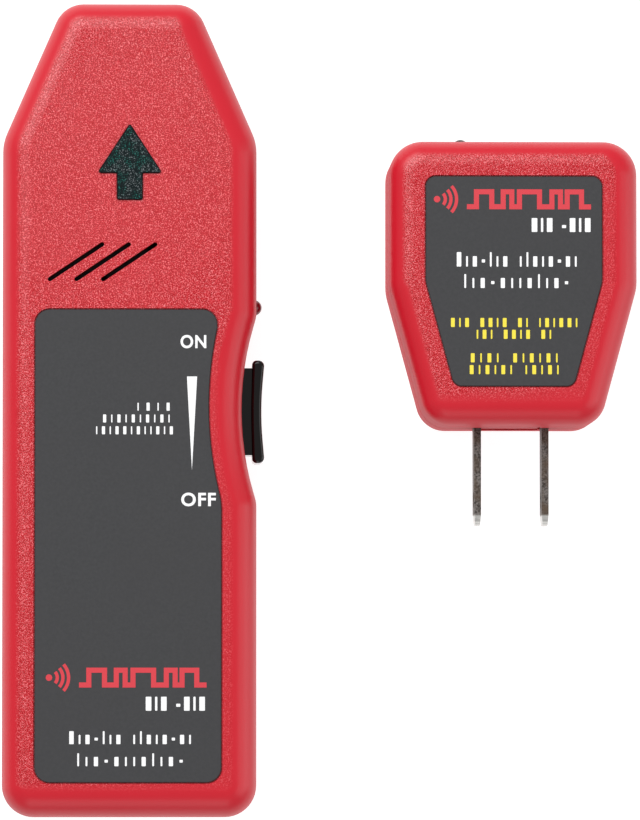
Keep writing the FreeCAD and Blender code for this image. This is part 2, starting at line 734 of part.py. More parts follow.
CORE_Z = f"{BOARD_TOP} + core_lift"
finished("pickup_core", [
    rod("core_rod", RX, "core_y - core_length / 2", CORE_Z, "core_radius", "core_length", "y"),
])
finished("pickup_bobbin", [
    rod("bobbin_hub", RX, "core_y - bobbin_length / 2", CORE_Z, "bobbin_hub", "bobbin_length", "y"),
    rod("bobbin_near", RX, "core_y - bobbin_length / 2", CORE_Z, "bobbin_flange", "bobbin_thick",
        "y"),
    rod("bobbin_far", RX, "core_y + bobbin_length / 2 - bobbin_thick", CORE_Z, "bobbin_flange",
        "bobbin_thick", "y"),
    block("bobbin_foot_near", f"{RX} - 4", "core_y - bobbin_length / 2", BOARD_TOP, "8",
          "bobbin_thick", "3"),
    block("bobbin_foot_far", f"{RX} - 4", "core_y + bobbin_length / 2 - bobbin_thick", BOARD_TOP,
          "8", "bobbin_thick", "3"),
], [
    rod("bobbin_bore", RX, "core_y - core_length", CORE_Z, "core_radius", "2 * core_length", "y"),
])
finished("pickup_coil", [
    rod("coil_body", RX, "core_y - bobbin_length / 2 + bobbin_thick", CORE_Z, "coil_radius",
        "bobbin_length - 2 * bobbin_thick", "y"),
], [
    rod("coil_bore", RX, "core_y - bobbin_length", CORE_Z, "bobbin_hub", "2 * bobbin_length", "y"),
])


def chip(label, left, low, board_top, legs):
    """Dual-in-line chip: moulded body and two rows of legs standing on the board."""
    pieces = [block(f"{label}_body", left, low, f"{board_top} + chip_lift", "chip_long", "chip_wide",
                    "chip_tall")]
    for index in range(legs):
        along = f"{left} + chip_long / 2 + ({index} - {(legs - 1) / 2}) * leg_pitch - 0.4"
        for side, start in (("low", f"{low} - 0.5"), ("high", f"{low} + chip_wide - 0.5")):
            pieces.append(block(f"{label}_leg_{side}_{index}", along, start, board_top, "0.8", "1",
                                "chip_lift + 1.6"))
    return pieces


def axial(name, x, y, board_top, radius="axial_radius", length="axial_length",
          lead="axial_lead", span="axial_span"):
    """Axial part along X: its body and two wire leads that bend down to the board."""
    height = f"{board_top} + {radius} + 0.3"
    pieces = [rod(f"{name}_body", f"{x} - {length} / 2", y, height, radius, length, "x")]
    for side, way in ((-1, "-x"), (1, "x")):
        start = (f"{x} + {side} * ({length} / 2 - 0.2)", y, height)
        run = f"{span} / 2 - {length} / 2 + 0.2 - 3 * {lead}"
        pieces += bent_lead(f"{name}_{side + 1}", start, way, run,
                            f"{radius} + 0.3 - 2 * {lead}", lead, f"(2 * {lead})")
    return pieces


finished("controller_chip", chip("controller", f"{RX} - 13.5", "-4.5", BOARD_TOP, 7))
resistors = []
for index, (x, y) in enumerate(((-10, -11.4), (-10, -8), (9.8, -8.4), (-6, 5.6), (6.5, 5.6), (3, 36),
                                (-7, 38))):
    resistors += axial(f"signal_resistor_{index}", f"{RX} + ({x})", str(y), BOARD_TOP)
finished("signal_resistors", resistors)
cans = []
for index, (x, y) in enumerate(((12.5, 24), (12.5, 31.5), (-14, 9))):
    cans.append(rod(f"can_{index}", f"{RX} + ({x})", str(y), BOARD_TOP, "can_radius", "can_tall"))
finished("signal_capacitors", cans)

# ---------------------------------------------------------------- battery

BATTERY_Z = "battery_under + battery_thick / 2"


def battery():
    body = new_body("battery_case", (RX, "0", BATTERY_Z))
    section = new_sketch(body, "section", "-battery_high", "XZ_Plane")
    wide = size("battery_half")
    deep = size("battery_thick") / 2
    corner = size("battery_corner")
    draw(section, rounded([(-wide, deep, corner), (-wide, -deep, corner), (wide, -deep, corner),
                           (wide, deep, corner)]))
    last = pad(body, section, "battery_high - battery_low")
    ends = []
    for index, edge in enumerate(last.Shape.Edges, 1):
        if edge.BoundBox.YLength < 1e-4:
            ends.append(f"Edge{index}")
    dressed = body.newObject("PartDesign::Fillet", "battery_case_soft")
    dressed.Base = (last, ends)
    dressed.Radius = 0.6
    doc.recompute()
    parts.append(body)


battery()
finished("battery_terminals", [
    rod("stud", f"{RX} - terminal_half", "battery_high", BATTERY_Z, "stud_radius", "terminal_rise",
        "y"),
    rod("socket", f"{RX} + terminal_half", "battery_high", BATTERY_Z, "socket_radius",
        "terminal_rise - 0.3", "y"),
], [
    rod("socket_bore", f"{RX} + terminal_half", "battery_high + 0.6", BATTERY_Z, "stud_radius",
        "terminal_rise", "y"),
])
finished("battery_snap", [
    block("snap_plate", f"{RX} - snap_half", "battery_high + 0.1", f"{BATTERY_Z} - snap_half_deep",
          "2 * snap_half", "snap_thick", "2 * snap_half_deep"),
], [
    rod("snap_stud_hole", f"{RX} - terminal_half", "battery_high - 1", BATTERY_Z,
        "stud_radius + 0.15", "terminal_rise + 1.15", "y"),
    rod("snap_socket_hole", f"{RX} + terminal_half", "battery_high - 1", BATTERY_Z,
        "socket_radius + 0.15", "terminal_rise + 1.15", "y"),
])
for label, side in (("battery_lead_red", -3), ("battery_lead_black", 3)):
    cord_z = "bay_tall + 2.2"
    finished(label, bent_lead(label, (f"{RX} + ({side})", "battery_high + 0.1 + snap_thick", cord_z),
                              "y", "cord_run", f"{cord_z} - cord_bend - ({BOARD_TOP})",
                              "cord_radius", "cord_bend"))
finished("battery_pad", [
    block("pad_foam", f"{RX} - 11", "-64", "battery_under + battery_thick", "22", "32",
          "receiver_deep - case_wall - battery_under - battery_thick"),
])


def screws(label, centre, posts):
    """Pan-head self-tapping screws standing head down, each with a cross recess."""
    solids = []
    recesses = []
    for index, (x, y) in enumerate(posts):
        name = f"{label}_{index}"
        px = f"{centre} + ({x})"
        top = "(screw_sink + screw_head_thick)"
        solids.append(rod(f"{name}_head", px, y, "screw_sink", "screw_head", "screw_head_thick"))
        solids.append(rod(f"{name}_shank", px, y, f"{top} - 0.2", "screw_shank",
                          f"screw_end - {top} - 1"))
        solids.append(cone(f"{name}_point", px, y, "screw_end - 1.2", "screw_shank", "0.4", "1.2"))
        recesses.append(block(f"{name}_slot_x", f"{px} - 1.5", f"{y} - 0.3", "screw_sink - 0.2",
                              "3", "0.6", "1.1"))
        recesses.append(block(f"{name}_slot_y", f"{px} - 0.3", f"{y} - 1.5", "screw_sink - 0.2",
                              "0.6", "3", "1.1"))
    finished(label, solids, recesses)


screws("receiver_screws", RX, POSTS)

# ---------------------------------------------------------------- transmitter

FLOOR = "transmitter_split"


def blade_windows(body, middle, upwards_only):
    """Openings in the foot wall for the tongue and the two blades."""
    window = new_sketch(body, "tongue_window", "-transmitter_foot + 2", "XZ_Plane")
    low = middle if upwards_only else f"{middle} - tongue_half_deep - 0.1"
    high = f"{middle} + tongue_half_deep + 0.1" if upwards_only else middle
    beyond = "-1" if upwards_only else "1"
    first, last = (f"{low} + {beyond}", high) if upwards_only else (low, f"{high} + {beyond}")
    rectangle(window, "-tongue_half - 0.1", first, "tongue_half + 0.1", last)
    pocket(body, window, "through_wall")
    slots = new_sketch(body, "blade_window", "-transmitter_foot + 2", "XZ_Plane")
    reach = "blade_half_pitch + blade_thick / 2 + blade_gap"
    if upwards_only:
        rectangle(slots, f"-({reach})", f"{middle} - 1", reach, f"{middle} + blade_wide / 2 + 0.15")
    else:
        rectangle(slots, f"-({reach})", f"{middle} - blade_wide / 2 - 0.15", reach, f"{middle} + 1")
    pocket(body, slots, "through_wall")


def lamp_window(body, middle):
    hole = new_sketch(body, "lamp_hole", "-transmitter_top - 2", "XZ_Plane")
    circle(hole, "pilot_x", middle, "lamp_radius + lamp_gap")
    pocket(body, hole, "through_wall", upwards=True)


def transmitter_front():
    body = front_half("transmitter_front_shell", TX, FLOOR, "transmitter_deep",
                      transmitter_outline(), "block_edge", BLOCK_POSTS)
    seat = new_sketch(body, "label_seat", f"transmitter_deep - {FLOOR}")
    draw(seat, rounded(plate_outline(size("label_gap"))))
    pocket(body, seat, "label_seat")
    blade_windows(body, "0", True)
    lamp_window(body, "0")
    parts.append(body)


def transmitter_rear():
    body = rear_half("transmitter_rear_shell", TX, FLOOR, transmitter_outline(), BLOCK_POSTS)
    rests = new_sketch(body, "board_rests", "back_wall - 0.4")
    for x, y in (("-13", "14.5"), ("13", "14.5"), ("-10", "38"), ("10", "38")):
        circle(rests, x, y, "rest_radius")
    pad(body, rests, "base_under - back_wall + 0.4")
    screw_holes(body, FLOOR, BLOCK_POSTS)
    blade_windows(body, FLOOR, False)
    lamp_window(body, FLOOR)
    parts.append(body)


transmitter_front()
transmitter_rear()
flat_piece("transmitter_label", (TX, "0", "transmitter_deep - label_seat"), plate_outline(0),
           "label_thick", "plate_bevel")

BLADES = (("line", -1), ("neutral", 1))
finished("blade_carrier", [
    block("carrier_flange", f"{TX} - carrier_half", "carrier_low", f"{FLOOR} - carrier_half_deep",
          "2 * carrier_half", "carrier_high - carrier_low", "2 * carrier_half_deep"),
    block("carrier_tongue", f"{TX} - tongue_half", "transmitter_foot + tongue_set",
          f"{FLOOR} - tongue_half_deep", "2 * tongue_half",
          "carrier_low + 0.5 - transmitter_foot - tongue_set", "2 * tongue_half_deep"),
], [
    block(f"carrier_slot_{name}", f"{TX} + {side} * blade_half_pitch - blade_thick / 2",
          "carrier_low - 5", f"{FLOOR} - blade_wide / 2", "blade_thick", "12", "blade_wide")
    for name, side in BLADES
])


def blade(label, side):
    """Flat plug blade, bevelled to a thin nose, with rounded nose corners and a hole."""
    body = new_body(label, (f"{TX} + {side} * blade_half_pitch", "0", FLOOR))
    edge = new_sketch(body, "edge")
    thick = size("blade_thick") / 2
    nose = size("blade_nose") / 2
    tip = size("blade_tip")
    root = size("blade_root")
    taper = tip + size("blade_taper")
    draw(edge, rounded([(thick, root, 0), (-thick, root, 0), (-thick, taper, 0), (-nose, tip, 0),
                        (nose, tip, 0), (thick, taper, 0)]))
    last = pad(body, edge, "blade_wide", symmetric=True)
    corners = []
    for index, item in enumerate(last.Shape.Edges, 1):
        limits = item.BoundBox
        if abs(limits.YMax - tip) < 1e-4 and limits.XLength > 0.1 and limits.ZLength < 1e-4:
            corners.append(f"Edge{index}")
    dressed = body.newObject("PartDesign::Fillet", f"{label}_nose")
    dressed.Base = (last, corners)
    bind(dressed, "Radius", "blade_corner")
    doc.recompute()
    hole = new_sketch(body, "hole", "0", "YZ_Plane")
    circle(hole, "transmitter_foot - blade_hole_drop", "0", "blade_hole")
    pocket(body, hole, "4 * blade_thick", symmetric=True)
    parts.append(body)


for name, side in BLADES:
    blade(f"blade_{name}", side)

BASE_TOP = "base_under + board_thick"
base_half = size("base_half")
neck = size("base_neck")
flat_piece("transmitter_board", (TX, "0", "base_under"),
           [(-base_half, size("base_low"), 0.8), (base_half, size("base_low"), 0.8),
            (base_half, size("base_step"), 0.5), (neck, size("base_step"), 0.5),
            (neck, size("base_high"), 0.5), (-neck, size("base_high"), 0.5),
            (-neck, size("base_step"), 0.5), (-base_half, size("base_step"), 0.5)],
           "board_thick", "")
PILOT_TIP = (f"{TX} + pilot_x", "pilot_tip", FLOOR)
finished("transmitter_led", lamp("transmitter_led_lens", PILOT_TIP, "y"))
finished("transmitter_led_leads", lamp_leads("transmitter_lead", PILOT_TIP, "y", BASE_TOP))
for name, side in BLADES:
    label = f"blade_lead_{name}"
    finished(label, bent_lead(label, (f"{TX} + {side} * blade_half_pitch", "blade_root", FLOOR),
                              "y", "wire_run", f"{FLOOR} - cord_bend - ({BASE_TOP})",
                              "cord_radius", "cord_bend"))

finished("film_capacitor", [
    block("film_box", f"{TX} - 12.5", "17.5", f"{BASE_TOP} + 0.4", "film_long", "film_wide",
          "film_tall"),
    rod("film_pin_left", f"{TX} - 11", "21.5", BASE_TOP, "0.4", "1"),
    rod("film_pin_right", f"{TX} + 4", "21.5", BASE_TOP, "0.4", "1"),
])
finished("drop_resistor", axial("drop", f"{TX} - 4", "30", BASE_TOP, "power_radius", "power_length",
                                "0.4", "(power_length + 4)"))
finished("triac", [
    block("triac_body", f"{TX} + 11.4", "28", f"{BASE_TOP} + 3", "4.5", "10", "9"),
    block("triac_tab", f"{TX} + 14.6", "28", f"{BASE_TOP} + 8", "1.3", "10", "8"),
    block("triac_leg_first", f"{TX} + 13.3", "30", BASE_TOP, "0.6", "0.9", "4"),
    block("triac_leg_second", f"{TX} + 13.3", "32.55", BASE_TOP, "0.6", "0.9", "4"),
    block("triac_leg_third", f"{TX} + 13.3", "35.1", BASE_TOP, "0.6", "0.9", "4"),
], [
    rod("triac_hole", f"{TX} + 14.3", "33", f"{BASE_TOP} + 14", "1.5", "3", "x"),
])
FUSE_Z = f"{BASE_TOP} + fuse_radius + 0.5"
finished("fuse_tube", [
    rod("fuse_glass", f"{TX} - fuse_long / 2", "36.6", FUSE_Z, "fuse_radius - 0.3", "fuse_long",
        "x"),
])
caps = []
cap_bores = []
for name, left in (("left", f"{TX} - fuse_long / 2 - 0.4"),
                   ("right", f"{TX} + fuse_long / 2 - fuse_cap + 0.4")):
    caps.append(rod(f"fuse_cap_{name}", left, "36.6", FUSE_Z, "fuse_radius", "fuse_cap", "x"))
    caps.append(rod(f"fuse_foot_{name}", f"{left} + fuse_cap / 2", "36.6", BASE_TOP, "0.4", "1"))
cap_bores.append(rod("fuse_bore", f"{TX} - fuse_long / 2", "36.6", FUSE_Z, "fuse_radius - 0.3",
                     "fuse_long", "x"))
finished("fuse_caps", caps, cap_bores)
finished("varistor", [
    rod("varistor_disc", f"{TX} + 8.6", "22", f"{BASE_TOP} + disc_radius + 1.2", "disc_radius",
        "disc_thick", "x"),
    rod("varistor_leg_left", f"{TX} + 10.6", "19.4", BASE_TOP, "0.35", "disc_radius"),
    rod("varistor_leg_right", f"{TX} + 10.6", "24.6", BASE_TOP, "0.35", "disc_radius"),
])
small = []
for index, (x, y) in enumerate(((5.5, 42.8), (0, 12.7), (0, 15.4))):
    small += axial(f"small_resistor_{index}", f"{TX} + ({x})", str(y), BASE_TOP)
finished("small_resistors", small)
screws("transmitter_screws", TX, BLOCK_POSTS)

# ---------------------------------------------------------------- checks and output

doc.recompute()
for item in doc.Objects:
    if "Invalid" in item.State or "Error" in item.State:
        raise RuntimeError(f"{item.Label}: {item.State}")
os.makedirs("parts", exist_ok=True)
for item in parts:
    if item.Shape.isNull() or not item.Shape.isValid() or not item.Shape.Solids:
        raise RuntimeError(f"{item.Label}: no valid shape")
for item in parts:
    item.Shape.exportStep(os.path.join("parts", f"{item.Label}.step"))
    limits = item.Shape.BoundBox
    print(f"{item.Label:26} solids {len(item.Shape.Solids):2} volume {item.Shape.Volume:10.1f} "
          f"x {limits.XMin:7.2f} {limits.XMax:7.2f} y {limits.YMin:7.2f} {limits.YMax:7.2f} "
          f"z {limits.ZMin:6.2f} {limits.ZMax:6.2f}")
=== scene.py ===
import math

import bmesh
import bpy
from mathutils import Matrix, Vector


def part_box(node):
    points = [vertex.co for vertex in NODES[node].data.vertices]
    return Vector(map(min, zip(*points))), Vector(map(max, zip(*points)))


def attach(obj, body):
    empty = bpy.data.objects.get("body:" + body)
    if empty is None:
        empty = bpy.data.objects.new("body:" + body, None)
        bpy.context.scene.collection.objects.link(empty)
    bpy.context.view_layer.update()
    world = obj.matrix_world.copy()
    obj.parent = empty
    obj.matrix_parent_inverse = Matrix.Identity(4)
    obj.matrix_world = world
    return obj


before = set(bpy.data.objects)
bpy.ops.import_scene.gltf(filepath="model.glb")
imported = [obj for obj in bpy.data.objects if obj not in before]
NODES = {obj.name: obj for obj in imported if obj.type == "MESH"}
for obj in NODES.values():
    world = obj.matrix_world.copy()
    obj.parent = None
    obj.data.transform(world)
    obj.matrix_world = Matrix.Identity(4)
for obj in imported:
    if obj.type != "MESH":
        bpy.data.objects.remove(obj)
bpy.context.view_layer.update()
MM = 0.001


def add(name, data):
    """New object in the scene."""
    made = bpy.data.objects.new(name, data)
    bpy.context.scene.collection.objects.link(made)
    return made


# ---------------------------------------------------------------- node helpers

class Graph:
    """A material's node tree with short ways to add and join nodes."""

    def __init__(self, name):
        self.material = bpy.data.materials.new(name)
        self.material.use_nodes = True
        self.tree = self.material.node_tree
        self.shader = self.tree.nodes["Principled BSDF"]

    def feed(self, socket, value):
        """Join another socket to this one, or set a plain value on it."""
        if isinstance(value, bpy.types.NodeSocket):
            self.tree.links.new(value, socket)
        else:
            socket.default_value = value

    def set(self, **inputs):
        """Feed the shader's inputs, each by its name with _ for a space."""
        for name, value in inputs.items():
            self.feed(self.shader.inputs[name.replace("_", " ")], value)

    def node(self, kind, inputs=None, **settings):
        """New node: its settings first, then its inputs. Gives its outputs."""
        made = self.tree.nodes.new(kind)
        for key, value in settings.items():
            setattr(made, key, value)
        for key, value in (inputs or {}).items():
            self.feed(made.inputs[key], value)
        return made.outputs

    def point(self):
        return self.node("ShaderNodeTexCoord")["Object"]

    def split(self, vector):
        return self.node("ShaderNodeSeparateXYZ", {"Vector": vector})

    def normal(self):
        return self.split(self.node("ShaderNodeNewGeometry")["Normal"])

    def noise(self, scale, detail=2.0, rough=0.5):
        return self.node("ShaderNodeTexNoise", {"Vector": self.point(), "Scale": scale,
                                                "Detail": detail, "Roughness": rough})["Fac"]

    def cells(self, scale, smooth):
        return self.node("ShaderNodeTexVoronoi", {"Vector": self.point(), "Scale": scale,
                                                  "Smoothness": smooth},
                         feature="SMOOTH_F1")["Distance"]

    def math(self, operation, first, second=0.0):
        return self.node("ShaderNodeMath", {0: first, 1: second}, operation=operation)[0]

    def ramp(self, value, low, high, first=0.0, last=1.0):
        """Smooth step from first, at low and under, to last, at high and over."""
        return self.node("ShaderNodeMapRange", {"Value": value, "From Min": low, "From Max": high,
                                                "To Min": first, "To Max": last},
                         clamp=True, interpolation_type="SMOOTHSTEP")["Result"]

    def mix(self, amount, first, second):
        return self.node("ShaderNodeMix", {"Factor": amount, "A": first, "B": second},
                         data_type="RGBA")["Result"]

    def bump(self, height, strength, distance):
        self.set(Normal=self.node("ShaderNodeBump", {"Strength": strength, "Distance": distance,
                                                     "Height": height})["Normal"])


def rgb(red, green, blue):
    return (red, green, blue, 1.0)


# ---------------------------------------------------------------- materials

# label, share of the grain kept right of it, the mm over which it thins down that side, and
# where it starts and ends to thin at the label's foot, in mm up from the foot
THIN_GRAIN = (
    ("receiver_label", 0.45, 15.0, 0.6, -2.0),
    ("transmitter_label", 0.55, 6.0, 0.0, -3.6),
)
# the part of a label's width over which the thinning beside it comes in
THIN_WIDTH = 0.3
# share of the grain kept below a label
LEAST_GRAIN = 0.05


def grain_share(g, front):
    """How much of the front's grain is left: it thins out right of and below each label."""
    place = g.split(g.point())
    share = 1.0
    for label, beside, run, start, end in THIN_GRAIN:
        low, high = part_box(label)
        middle = (low[0] + high[0]) / 2
        side = g.ramp(place["X"], middle, middle + THIN_WIDTH * (high[0] - low[0]))
        down = g.ramp(place["Y"], high[1] - run * MM, high[1] + MM, 1.0 - beside, 0.0)
        kept = g.math("SUBTRACT", 1.0, g.math("MULTIPLY", side, down))
        below = g.ramp(place["Y"], low[1] + end * MM, low[1] + start * MM, LEAST_GRAIN, 1.0)
        kept = g.math("MULTIPLY", kept, below)
        # each label thins the grain on its own side of the frame's middle only
        outside = (0.0, 1.0) if middle < 0 else (1.0, 0.0)
        kept = g.math("MAXIMUM", kept, g.ramp(place["X"], -MM, MM, *outside))
        share = g.math("MULTIPLY", share, kept)
    # the backs keep all of theirs
    return g.math("MAXIMUM", share, g.ramp(front, -0.5, 0.5, 1.0, 0.0))


def case_red():
    """Moulded red plastic: spark-eroded grain on the flats, smooth rims and side walls."""
    g = Graph("case_red")
    normal = g.normal()
    upright = g.math("ABSOLUTE", normal["Z"])
    # the grain dies away sooner on the right-hand and lower roundings, which face away from the
    # key lamp: painted shade, as the grain's painted glints go with it
    turned_from_key = g.math("ADD", g.math("MAXIMUM", normal["X"], 0.0),
                  g.math("MAXIMUM", g.math("MULTIPLY", normal["Y"], -1.0), 0.0))
    flat = g.ramp(g.math("SUBTRACT", upright, g.math("MULTIPLY", turned_from_key, 0.9)), 0.84, 0.955)
    flat = g.math("MULTIPLY", flat, grain_share(g, normal["Z"]))
    grain = g.noise(5600, 2.0, 0.60)
    pebbles = g.cells(4200, 0.6)
    height = g.math("ADD", g.math("MULTIPLY", grain, 0.75), g.math("MULTIPLY", pebbles, 0.5))
    smooth = g.mix(g.noise(38), rgb(0.530, 0.0070, 0.018), rgb(0.565, 0.0095, 0.024))
    # the grain's colour is painted light: its darker dots are painted shade in the pits, and the
    # pale pink glints on the highest tips are painted highlights
    grain_shade_and_glints = g.mix(g.ramp(height, 0.45, 0.80), rgb(0.345, 0.0001, 0.004),
                   rgb(0.640, 0.0030, 0.017))
    grain_shade_and_glints = g.mix(g.ramp(height, 0.60, 0.88), grain_shade_and_glints, rgb(0.740, 0.1750, 0.1900))
    matte, satin, gloss = 0.62, 0.34, 0.22
    roughness = g.math("MINIMUM", g.ramp(upright, 0.0, 0.4, matte, satin),
                       g.ramp(flat, 0.0, 1.0, matte, gloss))
    g.set(Base_Color=g.mix(flat, smooth, grain_shade_and_glints), Roughness=roughness, IOR=1.5,
          Specular_IOR_Level=0.46)
    g.bump(height, g.ramp(flat, 0.0, 1.0, 0.04, 0.55), 0.12 * MM)
    return g.material


def label_grey():
    """Printed film: matte dark grey with a fine speckle."""
    g = Graph("label_grey")
    fine = g.noise(1700, 2, 0.6)
    broad = g.noise(60)
    tone = g.mix(fine, rgb(0.038, 0.039, 0.041), rgb(0.055, 0.055, 0.058))
    tone = g.mix(g.ramp(broad, 0.3, 0.7, 0, 0.25), tone, rgb(0.048, 0.046, 0.048))
    g.set(Base_Color=tone, Roughness=g.ramp(broad, 0.3, 0.7, 0.50, 0.58), Specular_IOR_Level=0.2)
    g.bump(fine, 0.12, 0.02 * MM)
    return g.material


def arrow_black():
    """Black insert with a fine grain whose tips catch the light."""
    g = Graph("arrow_black")
    grain = g.noise(4300, 2.0, 0.60)
    # the light that the tips catch is painted into the colour: pale and greenish glints, a painted
    # highlight, on upward faces only
    tips = g.math("MULTIPLY", g.ramp(grain, 0.54, 0.69), g.ramp(g.normal()["Z"], 0.80, 0.97))
    green = g.ramp(g.noise(520, 1), 0.42, 0.60)
    glint = g.mix(green, rgb(0.210, 0.240, 0.250), rgb(0.022, 0.190, 0.155))
    g.set(Base_Color=g.mix(tips, rgb(0.002, 0.007, 0.008), glint), Roughness=0.38,
          Specular_IOR_Level=0.10)
    g.bump(grain, 0.7, 0.12 * MM)
    return g.material


def moulded(name, low, high, roughness, scale=1500, strength=0.12, distance=0.03 * MM, coat=0.0,
            specular=0.5):
    """Plain moulding: slight tone and roughness changes with a fine surface."""
    g = Graph(name)
    fine = g.noise(scale, 2, 0.55)
    broad = g.noise(90)
    g.set(Base_Color=g.mix(broad, rgb(*low), rgb(*high)),
          Roughness=g.ramp(broad, 0.3, 0.7, roughness, roughness + 0.08),
          Coat_Weight=coat, Coat_Roughness=0.06, Specular_IOR_Level=specular)
    g.bump(fine, strength, distance)
    return g.material


def metal(name, low, high, roughness):
    """Plain metal, uneven in tone and roughness, with a fine surface."""
    g = Graph(name)
    fine = g.noise(900, 3, 0.6)
    g.set(Base_Color=g.mix(fine, rgb(*low), rgb(*high)),
          Roughness=g.ramp(fine, 0.3, 0.7, roughness, roughness + 0.15), Metallic=1.0)
    g.bump(fine, 0.15, 0.02 * MM)
    return g.material


def blade_metal():
    """Plug blade: dark speckled flanks and a nose painted bright over its last 2 mm, where it is
    bevelled.
    """
    g = Graph("blade_metal")
    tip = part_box("blade_line")[0][1]
    bright = g.ramp(g.split(g.point())["Y"], tip + 1.7 * MM, tip + 2.2 * MM, 1.0, 0.0)
    grain = g.ramp(g.noise(2600, 3, 0.65), 0.36, 0.64)
    dark = g.mix(grain, rgb(0.037, 0.031, 0.028), rgb(0.200, 0.181, 0.168))
    warm = g.mix(g.ramp(g.noise(240), 0.4, 0.7), dark, rgb(0.110, 0.078, 0.055))
    g.set(Base_Color=g.mix(bright, warm, rgb(0.620, 0.610, 0.585)),
          Roughness=g.ramp(bright, 0.0, 1.0, 0.52, 0.28), Metallic=0.85)
    g.bump(grain, 0.3, 0.05 * MM)
    return g.material


def lens(name, color, roughness=0.12):
    """Tinted clear epoxy with a little cloud in it."""
    g = Graph(name)
    cloud = g.noise(700)
    deep = [0.6 * value for value in color]
    g.set(Base_Color=g.mix(cloud, rgb(*color), rgb(*deep)), Roughness=roughness,
          Transmission_Weight=0.35, IOR=1.52)
    g.bump(cloud, 0.04, 0.02 * MM)
    return g.material


def ink(name, color):
    """Screen print: opaque, slightly uneven."""
    g = Graph(name)
    speck = g.noise(3000, 2, 0.6)
    dim = [0.92 * value for value in color]
    g.set(Base_Color=g.mix(speck, rgb(*dim), rgb(*color)), Roughness=0.5)
    g.bump(speck, 0.05, 0.01 * MM)
    return g.material


def winding():
    """Copper wire laid in close turns along Y."""
    g = Graph("copper_winding")
    turns = g.node("ShaderNodeTexWave", {"Vector": g.point(), "Scale": 900, "Distortion": 0.6},
                   wave_type="BANDS", bands_direction="Y")["Fac"]
    g.set(Base_Color=g.mix(turns, rgb(0.300, 0.100, 0.040), rgb(0.720, 0.330, 0.150)),
          Roughness=0.32, Metallic=0.8)
    g.bump(turns, 0.6, 0.1 * MM)
    return g.material


def circuit_board():
    """Solder mask with small lighter dots where copper lies under it."""
    g = Graph("circuit_board")
    dots = g.ramp(g.cells(260, 0.0), 0.02, 0.05)
    mask = g.mix(g.noise(900), rgb(0.010, 0.105, 0.040), rgb(0.016, 0.135, 0.055))
    g.set(Base_Color=g.mix(dots, rgb(0.030, 0.200, 0.085), mask), Roughness=0.35)
    g.bump(dots, 0.2, 0.03 * MM)
    return g.material


# materials that several pieces share
RED = case_red()
LABEL = label_grey()
BOARD = circuit_board()
BLADE = blade_metal()
BLACK = moulded("inner_black", (0.014, 0.014, 0.015), (0.022, 0.022, 0.023), 0.48)
WIRE = metal("tinned_wire", (0.50, 0.50, 0.48), (0.68, 0.67, 0.65), 0.30)
SCREW = metal("zinc_screw", (0.42, 0.43, 0.44), (0.62, 0.62, 0.62), 0.34)
NICKEL = metal("nickel_plate", (0.56, 0.55, 0.52), (0.74, 0.73, 0.70), 0.22)
CERAMIC = moulded("resistor_coat", (0.50, 0.38, 0.24), (0.64, 0.52, 0.36), 0.42)
CORD_RED = moulded("cord_red", (0.46, 0.010, 0.012), (0.56, 0.018, 0.020), 0.38)
CORD_BLACK = moulded("cord_black", (0.012, 0.012, 0.012), (0.020, 0.020, 0.020), 0.38)

FINISHES = {
    "receiver_front_shell": RED,
    "receiver_rear_shell": RED,
    "battery_door": RED,
    "transmitter_front_shell": RED,
    "transmitter_rear_shell": RED,
    "blade_carrier": RED,
    "receiver_label": LABEL,
    "transmitter_label": LABEL,
    "direction_arrow": arrow_black(),
    "power_button": moulded("button_black", (0.0014, 0.0007, 0.0008), (0.0026, 0.0013, 0.0014),
                            0.16, scale=700, strength=0.06, coat=0.80, specular=0.02),
    "receiver_led": lens("lamp_red", (0.330, 0.004, 0.012)),
    "transmitter_led": lens("lamp_smoke", (0.040, 0.052, 0.038)),
    "receiver_led_leads": WIRE,
    "transmitter_led_leads": WIRE,
    "receiver_board": BOARD,
    "transmitter_board": BOARD,
    "switch_body": BLACK,
    "switch_plunger": BLACK,
    "sounder": BLACK,
    "controller_chip": BLACK,
    "triac": BLACK,
    "battery_snap": BLACK,
    "pickup_core": moulded("ferrite", (0.030, 0.030, 0.034), (0.055, 0.055, 0.060), 0.60),
    "pickup_bobbin": moulded("bobbin_white", (0.62, 0.60, 0.52), (0.72, 0.70, 0.62), 0.45),
    "pickup_coil": winding(),
    "signal_resistors": CERAMIC,
    "small_resistors": CERAMIC,
    "drop_resistor": moulded("power_ceramic", (0.46, 0.44, 0.41), (0.60, 0.58, 0.54), 0.62),
    "signal_capacitors": moulded("can_sleeve", (0.012, 0.028, 0.110), (0.022, 0.045, 0.160), 0.30),
    "film_capacitor": moulded("film_case", (0.62, 0.44, 0.06), (0.74, 0.54, 0.09), 0.36),
    "varistor": moulded("disc_coat", (0.030, 0.100, 0.320), (0.050, 0.140, 0.420), 0.40),
    "fuse_tube": lens("fuse_glass", (0.80, 0.84, 0.83), 0.05),
    "fuse_caps": NICKEL,
    "battery_terminals": NICKEL,
    "battery_case": moulded("battery_jacket", (0.020, 0.026, 0.036), (0.034, 0.042, 0.056), 0.26),
    "battery_pad": moulded("foam", (0.055, 0.055, 0.058), (0.110, 0.110, 0.114), 0.92, scale=1900,
                           strength=0.7, distance=0.2 * MM),
    "battery_lead_red": CORD_RED,
    "battery_lead_black": CORD_BLACK,
    "blade_lead_line": CORD_BLACK,
    "blade_lead_neutral": CORD_RED,
    "blade_line": BLADE,
    "blade_neutral": BLADE,
    "receiver_screws": SCREW,
    "transmitter_screws": SCREW,
}
for name, material in FINISHES.items():
    for place in NODES[name].material_slots:
        place.material = material


# ---------------------------------------------------------------- label print

# how far the print stands over its label's face, and how far it goes into the label
INK_RISE = 0.03 * MM
INK_SINK = 0.02 * MM
